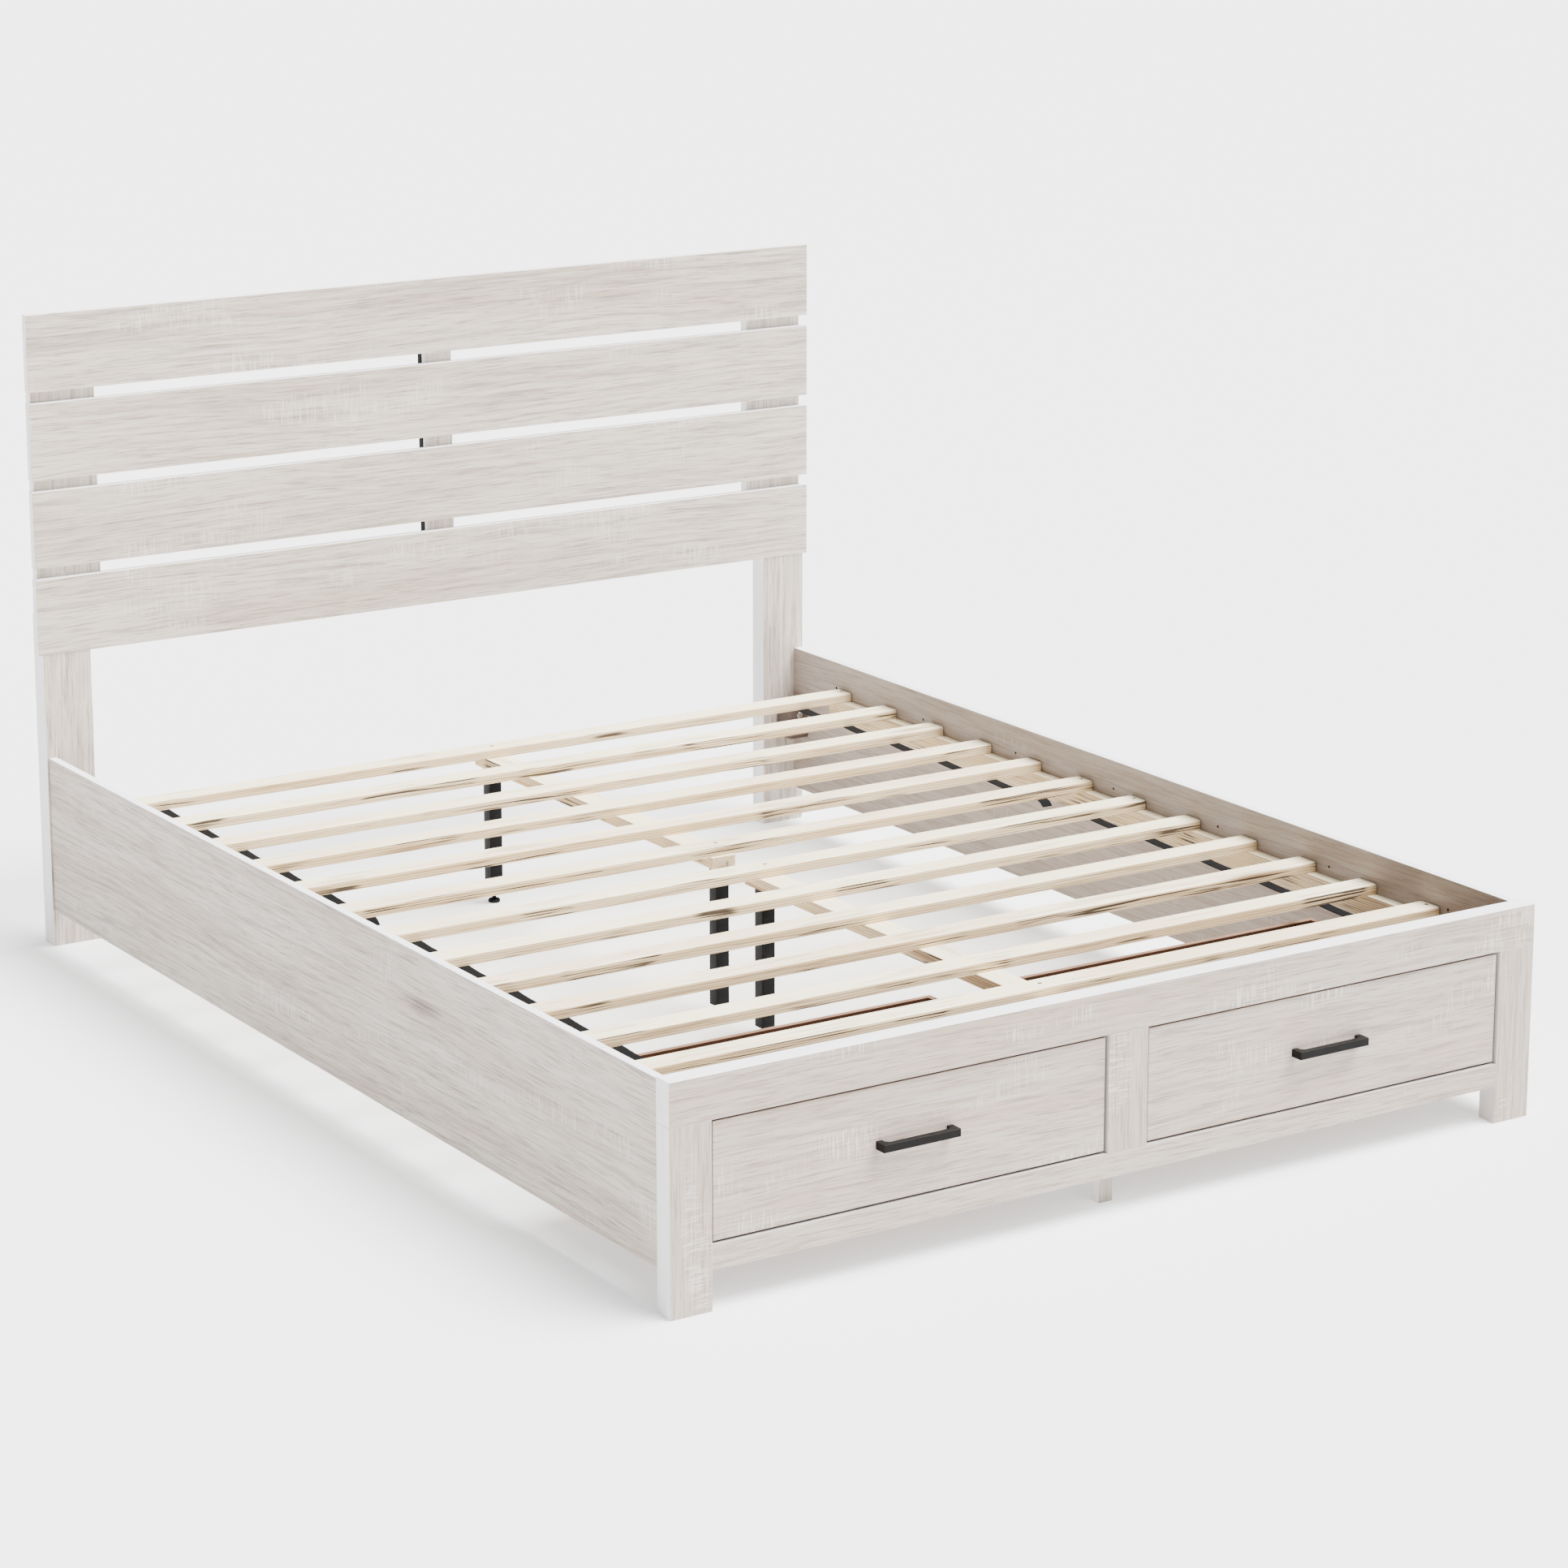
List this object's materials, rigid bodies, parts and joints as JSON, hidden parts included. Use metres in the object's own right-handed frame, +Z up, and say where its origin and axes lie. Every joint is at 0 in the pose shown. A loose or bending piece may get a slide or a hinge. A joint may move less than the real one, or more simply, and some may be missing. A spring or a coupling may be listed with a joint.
{
  "type": "bed frame",
  "caption": "Slatted-headboard wooden bed frame with side rails, a slat base on centre legs, and a footboard with inset storage drawers and bar pulls.",
  "frame": {"origin": "middle of the floor footprint, drawer pulls and headboard back included", "axes": "+Z up, X across the width, -Y the foot end with the drawers, +Y the headboard"},
  "size_m": [1.594, 2.1414, 1.126],
  "materials": {
    "white_oak_laminate": "satin white-washed oak print",
    "pine": "planed, unfinished",
    "raw_board": "raw board",
    "drawer_board": "raw fibreboard",
    "webbing": "woven",
    "black_steel": "powder coated",
    "black_edge": "matt edge strip",
    "black_plastic": "moulded",
    "black_metal": "matt black",
    "zinc_screw": "zinc plated"
  },
  "bodies": {
    "bed_frame": {"centre_rail_foot": "pine", "centre_rail_head": "pine", "corner_blocks": "raw_board", "corner_bolts": "zinc_screw", "drawer_cross_beam": "raw_board", "drawer_panels": "raw_board", "drawer_runners": "pine", "footboard_bottom_rail": "white_oak_laminate", "footboard_centre_foot": "white_oak_laminate", "footboard_leg_left": "white_oak_laminate", "footboard_leg_right": "white_oak_laminate", "footboard_stile": "white_oak_laminate", "footboard_top_rail": "white_oak_laminate", "headboard_batten_centre": "white_oak_laminate", "headboard_batten_left": "white_oak_laminate", "headboard_batten_right": "white_oak_laminate", "headboard_batten_strip": "black_edge", "headboard_leg_left": "white_oak_laminate", "headboard_leg_right": "white_oak_laminate", "headboard_plank_1": "white_oak_laminate", "headboard_plank_2": "white_oak_laminate", "headboard_plank_3": "white_oak_laminate", "headboard_plank_4": "white_oak_laminate", "leg_inserts": "black_plastic", "plank_screws": "zinc_screw", "side_rail_left": "white_oak_laminate", "side_rail_right": "white_oak_laminate", "slat_01": "pine", "slat_02": "pine", "slat_03": "pine", "slat_04": "pine", "slat_05": "pine", "slat_06": "pine", "slat_07": "pine", "slat_08": "pine", "slat_09": "pine", "slat_10": "pine", "slat_11": "pine", "slat_12": "pine", "slat_cleat_left": "pine", "slat_cleat_right": "pine", "slat_screws": "zinc_screw", "slat_straps_foot": "webbing", "slat_straps_head": "webbing", "support_legs": "black_steel"},
    "drawer_left": {"drawer_left_front": "white_oak_laminate", "drawer_left_sides": "drawer_board", "drawer_left_back": "drawer_board", "drawer_left_bottom": "drawer_board", "drawer_left_pull": "black_metal", "drawer_left_pull_screws": "zinc_screw"},
    "drawer_right": {"drawer_right_front": "white_oak_laminate", "drawer_right_sides": "drawer_board", "drawer_right_back": "drawer_board", "drawer_right_bottom": "drawer_board", "drawer_right_pull": "black_metal", "drawer_right_pull_screws": "zinc_screw"},
    "glide_1": {"levelling_glide_1": "black_plastic"},
    "glide_2": {"levelling_glide_2": "black_plastic"},
    "glide_3": {"levelling_glide_3": "black_plastic"}
  },
  "joints": [
    {"name": "drawer_left_slide", "type": "slide", "parent": "bed_frame", "child": "drawer_left", "axis": [0, -1, 0], "range_m": [0, 0.3]},
    {"name": "drawer_right_slide", "type": "slide", "parent": "bed_frame", "child": "drawer_right", "axis": [0, -1, 0], "range_m": [0, 0.3]},
    {"name": "glide_1_travel", "type": "slide", "parent": "bed_frame", "child": "glide_1", "axis": [0, 0, 1], "range_m": [0, 0.007]},
    {"name": "glide_2_travel", "type": "slide", "parent": "bed_frame", "child": "glide_2", "axis": [0, 0, 1], "range_m": [0, 0.007]},
    {"name": "glide_3_travel", "type": "slide", "parent": "bed_frame", "child": "glide_3", "axis": [0, 0, 1], "range_m": [0, 0.007]}
  ]
}
